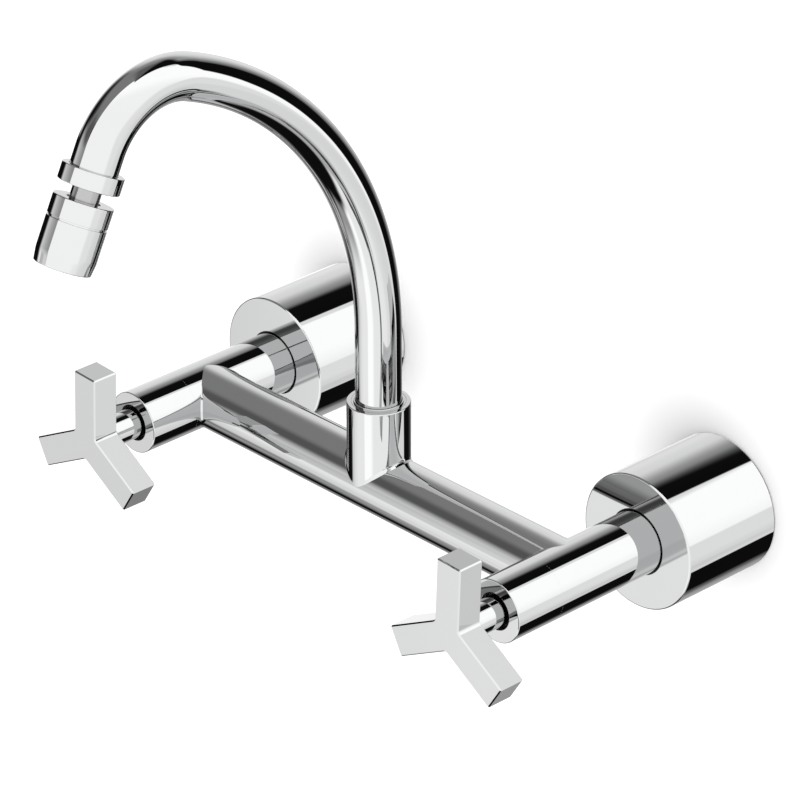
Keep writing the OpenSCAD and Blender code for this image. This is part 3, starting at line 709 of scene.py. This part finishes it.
# %% Shade the left side
fall = maths("ADD", 0.10, maths("MULTIPLY", 1.2, ramp(past, 174, 213)))
fall = maths("MULTIPLY", fall, maths("ADD", 0.42, maths("MULTIPLY", 0.58, ramp(rise_at, -28, 8))))
tent = paint(tent, fall, area(ramp(past, 172, 174), ramp(past, 256, 236)))
tent = paint(tent, grey(212), area(band(past, 230, 242, 256, 272), band(rise_at, -34, -26, 2, 14)))
tent = paint(tent, grey(212), area(band(past, 222, 231, 240, 250), band(rise_at, -34, -26, -15, -8)))
tent = paint(tent, grey(165), area(band(turn_at, -116, -107, -96, -86), band(rise_at, -46, -40, -30, -24)))
tent = paint(tent, grey(14), area(band(past, 172, 174, 190, 216), band(rise_at, -50, -34, -30, -24)))
tent = paint(tent, grey(128), area(band(past, 188, 200, 250, 262), ramp(rise_at, 24, 45)))
tent = paint(tent, grey(138), area(ramp(past, 244, 232), ramp(past, 190, 205), ramp(rise_at, -42, -50)))
print("left side painted,", len(nodes), "nodes so far")

# %% [markdown]
# ### The grey panel
#
# A big grey panel stands high on the left. The bridge and the arch of the spout carry its image as a
# broad grey band, and its dark rim gives that band a crisp lower edge.

# %% Hang the grey panel
# Its near edge is straight, so it lies in a plane through the tap, and this axis is square to that plane
edge_on = along((-0.886, 0.426, -0.1815))
high_left = area(ramp(turn_at, -126, -106), ramp(turn_at, 20, -10), ramp(edge_on, -0.088, -0.072))
tent = paint(tent, grey(117), area(high_left, ramp(rise_at, -14, 24)))
tent = paint(tent, grey(52), area(band(turn_at, -112, -96, -76, -56), band(rise_at, 10, 20, 26, 40)))
tent = paint(tent, grey(80),
             area(band(turn_at, -66, -50, -40, -24), band(rise_at, 12, 22, 30, 46), high_left))
panel_rim = area(band(edge_on, -0.070, -0.056, -0.02, 0.03), band(rise_at, 22, 27, 35, 41))
tent = paint(tent, grey(30), area(panel_rim, ramp(turn_at, 20, -10)))
# Dark over the wall
tent = paint(tent, grey(84), area(band(past, 206, 222, 240, 262), ramp(rise_at, 46, 60)))
tent = paint(tent, grey(12), area(band(past, 172, 174, 206, 224), ramp(rise_at, 42, 49)))
print("panel painted,", len(nodes), "nodes so far")

# %% [markdown]
# ### The black flag and the floor
#
# Black cloth on stands, which photographers call a flag, cuts the black lines that give chrome its
# shape. This one stands on the left, with a slanting tongue at its lower left. The floor under the tap
# is black, with a grey way towards it, and it darkens the undersides.

# %% Set up the flag and the floor
slant = maths("ADD", turn_at, maths("MULTIPLY", above, 0.45))
flag = area(ramp(slant, -112, -86), ramp(maths("ADD", slant, maths("MULTIPLY", below, 0.25)), -60, -74))
tent = paint(tent, grey(10), area(flag, band(rise_at, -50, -38, 16, 32)))
tongue = maths("SUBTRACT", rise_at, maths("MULTIPLY", turn_at, 0.467))
tent = paint(tent, grey(10), area(band(tongue, 22, 28, 36, 39), band(turn_at, -119, -112, -84, -76)))
tent = paint(tent, grey(126), area(band(turn_at, -86, -74, -56, -40), ramp(rise_at, -38, -48)))
tent = paint(tent, grey(108), area(band(turn_at, -130, -118, -84, -68), ramp(rise_at, -36, -45)))
tent = paint(tent, grey(11), area(band(turn_at, -108, -98, -86, -72), band(rise_at, -58, -54, -48, -43)))
tent = paint(tent, grey(14), area(band(turn_at, -118, -90, -60, -44), ramp(rise_at, -53, -64)))
tent = paint(tent, grey(12), area(ramp(rise_at, -64, -70), ramp(turn_at, 50, 10)))
tent = paint(tent, grey(12), ramp(rise_at, -68, -74))
print("flag and floor painted,", len(nodes), "nodes so far")

# %% [markdown]
# ### The card behind
#
# A black card behind on the right draws the sharp black stripe that runs down the right of the spout
# and along the tubes. Its edge is hard, and its lower corner slants.

# %% Stand the card behind
edge = maths("ADD", maths("MULTIPLY", above, 0.19), maths("MULTIPLY", ramp(rise_at, 38, 50), 10))
inside = maths("SUBTRACT", maths("SUBTRACT", past, 147), edge)
tent = paint(tent, grey(217), area(band(inside, -9, -6, 1, 3), band(rise_at, 45, 48, 57, 61)))
card = area(ramp(past, 180.4, 178.4), ramp(rise_at, -63, -55))
tent = paint(tent, grey(11), area(ramp(inside, -1, 1), card))
corner = area(ramp(maths("SUBTRACT", turn_at, maths("MULTIPLY", rise_at, 1.22)), 186, 187.6), card)
tent = paint(tent, grey(11), area(corner, band(rise_at, -56, -50, -34, -32), ramp(turn_at, 130, 136)))
print("card painted,", len(nodes), "nodes so far")

# %% [markdown]
# ### Who sees what
#
# Only mirror rays see the painted tent. Plain surfaces get an even level of about one, at which a colour
# comes out as it is written. Camera rays see white, which is the background.

# %% Send each kind of ray to its light
even_level, even_lean = 1.05, (0.3, 0, -0.1)
path = nodes.new("ShaderNodeLightPath")
even = maths("ADD", even_level, along(even_lean))
level = paint(even, tent, path.outputs["Is Glossy Ray"])
level = maths("ADD", maths("MULTIPLY", level, maths("SUBTRACT", 1, path.outputs["Is Camera Ray"])),
              path.outputs["Is Camera Ray"])
background = nodes.new("ShaderNodeBackground")
background.inputs["Color"].default_value = (1, 1, 1, 1)
links.new(level, background.inputs["Strength"])
output = nodes.new("ShaderNodeOutputWorld")
links.new(background.outputs["Background"], output.inputs["Surface"])
print("the tent has", len(nodes), "nodes")

# %% [markdown]
# ## The wall
#
# The tap needs a wall to stand on and to throw its soft shadow on. The wall is one plane that shows only
# from the front, so that the tap can also be looked at from behind. It is kept out of mirror reflections,
# because in the studio the chrome reflects the tent. Its white comes from its own colour and a painted
# glow, light that only the camera sees. The glow fades within three centimetres of the flanges, so the
# soft shadow round them is partly real shadow and partly painted shade, where the glow is taken away.
# A plain white plane would need more light, and the tap would get it too.

# %% Build the wall
wall_half, wall_gap = 3, 0.0002
bm = bmesh.new()
bmesh.ops.create_grid(bm, x_segments=1, y_segments=1, size=wall_half,
                      matrix=Matrix.Translation((0, wall_gap, 0)) @ Matrix.Rotation(pi / 2, 4, "X"))
mesh = bpy.data.meshes.new("wall")
bm.to_mesh(mesh)
bm.free()
wall = bpy.data.objects.new("wall", mesh)
bpy.context.scene.collection.objects.link(wall)
wall.visible_glossy = False
print("wall faces", [round(v, 2) for v in mesh.polygons[0].normal])

# %% Plaster it
wall_white, glow_reach, glow_from, glow_most = 0.9, 0.03, 0.5, 0.35
plaster = bpy.data.materials.new("white_wall")
plaster.use_nodes = True
wall_nodes, wall_links = plaster.node_tree.nodes, plaster.node_tree.links
shader = wall_nodes["Principled BSDF"]
shader.inputs["Base Color"].default_value = (wall_white, wall_white, wall_white, 1)
shader.inputs["Roughness"].default_value = 1
shader.inputs["Specular IOR Level"].default_value = 0
shader.inputs["Emission Color"].default_value = (1, 1, 1, 1)
# Painted shade: the camera-only glow fades where the flanges are near, which darkens the wall round them
nearby = wall_nodes.new("ShaderNodeAmbientOcclusion")
nearby.inputs["Distance"].default_value = glow_reach
glow_fading_to_painted_shade = wall_nodes.new("ShaderNodeMapRange")
glow_fading_to_painted_shade.inputs["From Min"].default_value = glow_from
glow_fading_to_painted_shade.inputs["To Max"].default_value = glow_most
wall_links.new(nearby.outputs["AO"], glow_fading_to_painted_shade.inputs["Value"])
seen = wall_nodes.new("ShaderNodeLightPath")
glow = wall_nodes.new("ShaderNodeMath")
glow.operation = "MULTIPLY"
wall_links.new(glow_fading_to_painted_shade.outputs["Result"], glow.inputs[0])
wall_links.new(seen.outputs["Is Camera Ray"], glow.inputs[1])
wall_links.new(glow.outputs[0], shader.inputs["Emission Strength"])
clear = wall_nodes.new("ShaderNodeBsdfTransparent")
facing = wall_nodes.new("ShaderNodeNewGeometry")
mix = wall_nodes.new("ShaderNodeMixShader")
wall_links.new(facing.outputs["Backfacing"], mix.inputs["Fac"])
wall_links.new(shader.outputs["BSDF"], mix.inputs[1])
wall_links.new(clear.outputs["BSDF"], mix.inputs[2])
wall_links.new(mix.outputs["Shader"], wall_nodes["Material Output"].inputs["Surface"])
wall.data.materials.append(plaster)
print("the plaster has", len(wall_nodes), "nodes")

# %% [markdown]
# ## The last step
#
# The view transform is the plain one, so that a grey comes out as it is written.

# %% Set the view and finish
bpy.context.scene.view_settings.view_transform = "Standard"
